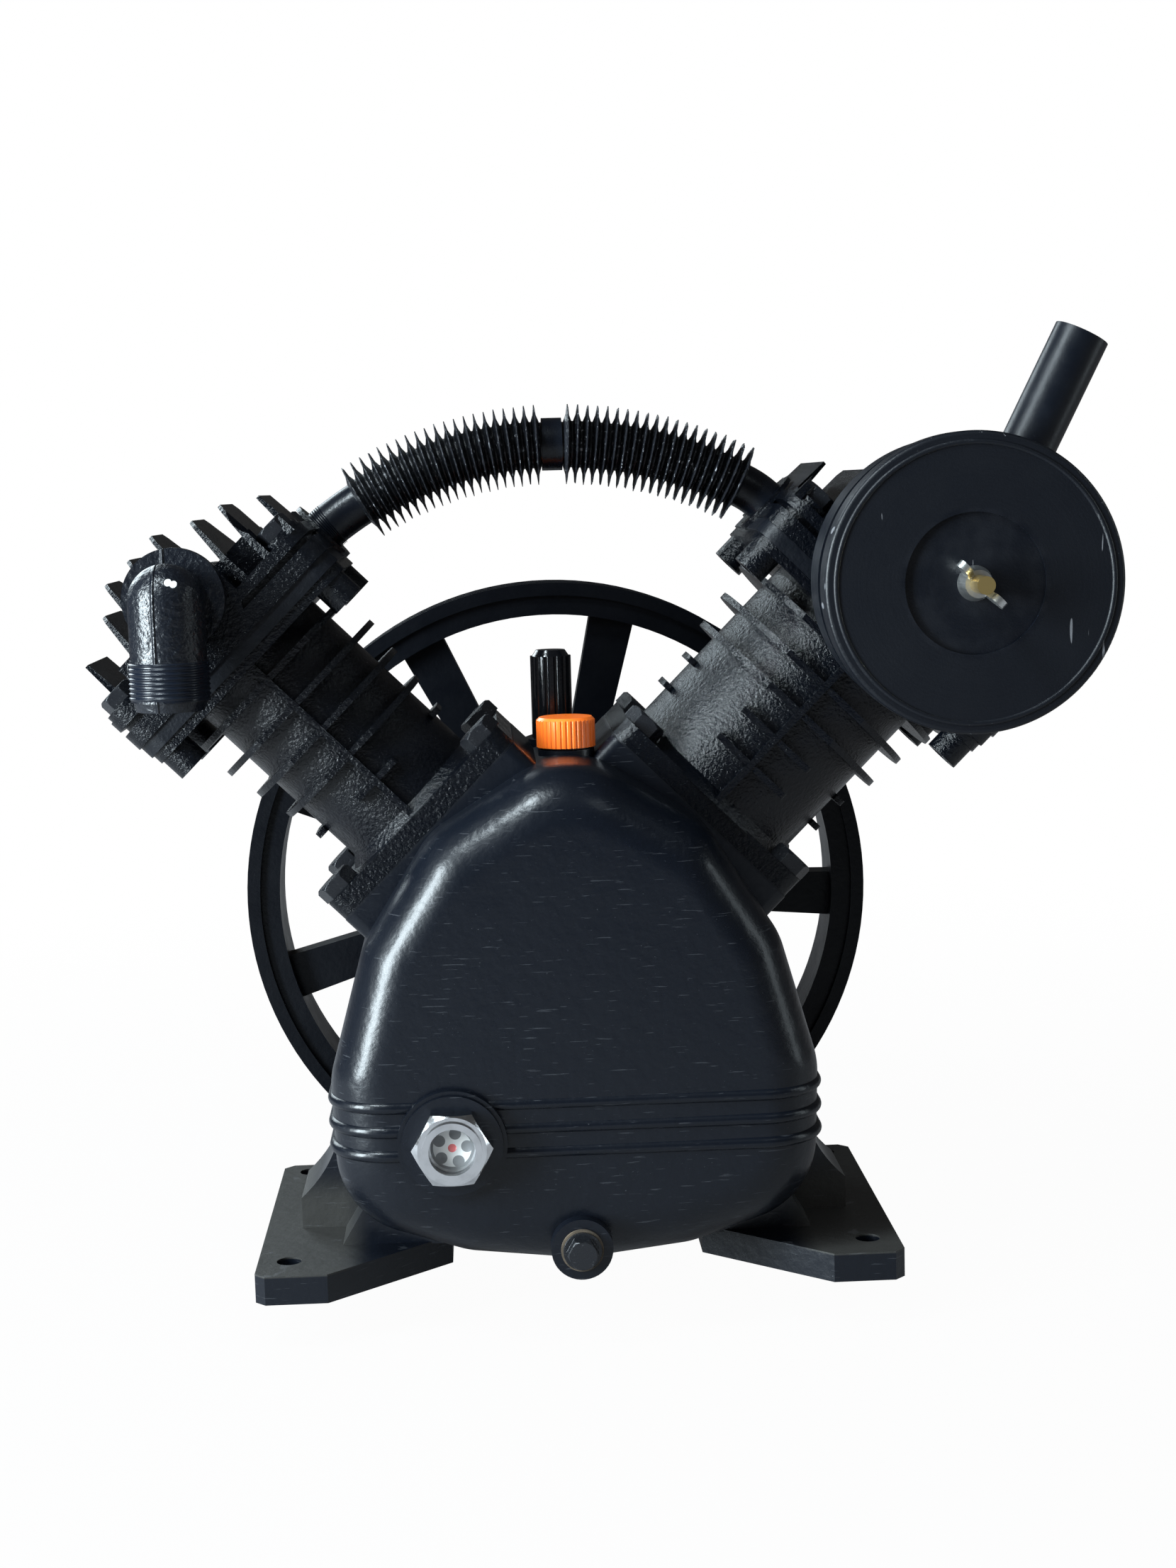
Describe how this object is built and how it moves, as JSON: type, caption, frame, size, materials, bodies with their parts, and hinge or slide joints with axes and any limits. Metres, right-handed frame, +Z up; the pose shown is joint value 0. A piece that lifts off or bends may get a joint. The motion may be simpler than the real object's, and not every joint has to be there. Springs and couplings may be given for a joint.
{
  "type": "air compressor pump head",
  "caption": "Belt-driven V-twin two-stage air compressor pump with finned cylinders, intercooler, disc air filter, sight glass and spoked flywheel.",
  "frame": {"origin": "centre of the four foot bolt holes on the underside of the feet", "axes": "+Z up, square to the feet; +Y along the crank, back to the flywheel; +X across, towards the larger cylinder with the air filter"},
  "size_m": [0.4755, 0.357, 0.4704],
  "materials": {
    "cast_paint": "semi-gloss black paint on cast iron",
    "wheel_paint": "black paint on cast iron",
    "tube_paint": "black paint on finned copper tube",
    "bolt_black": "black painted steel",
    "steel": "machined steel",
    "alloy": "cast and machined aluminium alloy",
    "iron": "ground cast iron",
    "gasket": "fibre gasket sheet",
    "rubber": "oil-resistant rubber",
    "sheet_black": "satin black enamel on pressed steel",
    "paper": "pleated paper",
    "brass": "brass",
    "chrome": "polished chrome",
    "glass": "clear glass",
    "white_plastic": "white plastic",
    "black_plastic": "glossy black plastic",
    "orange_plastic": "orange plastic"
  },
  "bodies": {
    "pump": {"crankcase": "cast_paint", "rear_cover": "cast_paint", "rear_cover_gasket": "gasket", "rear_cover_bolts": "bolt_black", "front_bearing": "steel", "rear_bearing": "steel", "oil_seal": "rubber", "crank_throw": "steel", "small_rod": "alloy", "large_rod": "alloy", "rod_caps": "alloy", "rod_bolts": "steel", "small_piston": "alloy", "large_piston": "alloy", "piston_pins": "steel", "piston_rings": "iron", "small_cylinder": "cast_paint", "large_cylinder": "cast_paint", "base_gaskets": "gasket", "cylinder_bolts": "bolt_black", "small_valve_plate": "steel", "large_valve_plate": "steel", "valve_reeds": "steel", "head_gaskets": "gasket", "small_head": "cast_paint", "large_head": "cast_paint", "head_bolts": "bolt_black", "intercooler_tube": "tube_paint", "intercooler_elbows": "tube_paint", "intercooler_sleeve": "tube_paint", "intercooler_fins_left": "tube_paint", "intercooler_fins_right": "tube_paint", "discharge_elbow": "cast_paint", "elbow_gasket": "gasket", "filter_housing": "sheet_black", "filter_element": "paper", "filter_stud": "brass", "filter_gasket": "gasket", "sight_ring": "chrome", "sight_lens": "glass", "sight_reflector": "white_plastic", "drain_plug": "bolt_black", "drain_washer": "brass", "breather": "black_plastic", "oil_cap_seal": "rubber"},
    "wheel_set": {"flywheel": "wheel_paint", "drive_shaft": "steel", "shaft_key": "steel", "hub_washer": "steel", "hub_bolt": "bolt_black"},
    "cap_body": {"oil_cap": "orange_plastic"},
    "cover_body": {"filter_cover": "sheet_black"},
    "wing_body": {"wing_nut": "steel"}
  },
  "joints": [
    {"name": "flywheel_spin", "type": "hinge", "parent": "pump", "child": "wheel_set", "pos_m": [0, 0.164, 0.152], "axis": [0, 1, 0], "continuous": true},
    {"name": "oil_cap_lift", "type": "slide", "parent": "pump", "child": "cap_body", "axis": [0, 0, 1], "range_m": [0, 0.03]},
    {"name": "filter_cover_lift", "type": "slide", "parent": "pump", "child": "cover_body", "axis": [0, -1, 0], "range_m": [0, 0.05]},
    {"name": "wing_nut_turn", "type": "hinge", "parent": "cover_body", "child": "wing_body", "pos_m": [0.18067, -0.15, 0.33267], "axis": [0, 1, 0], "continuous": true}
  ]
}
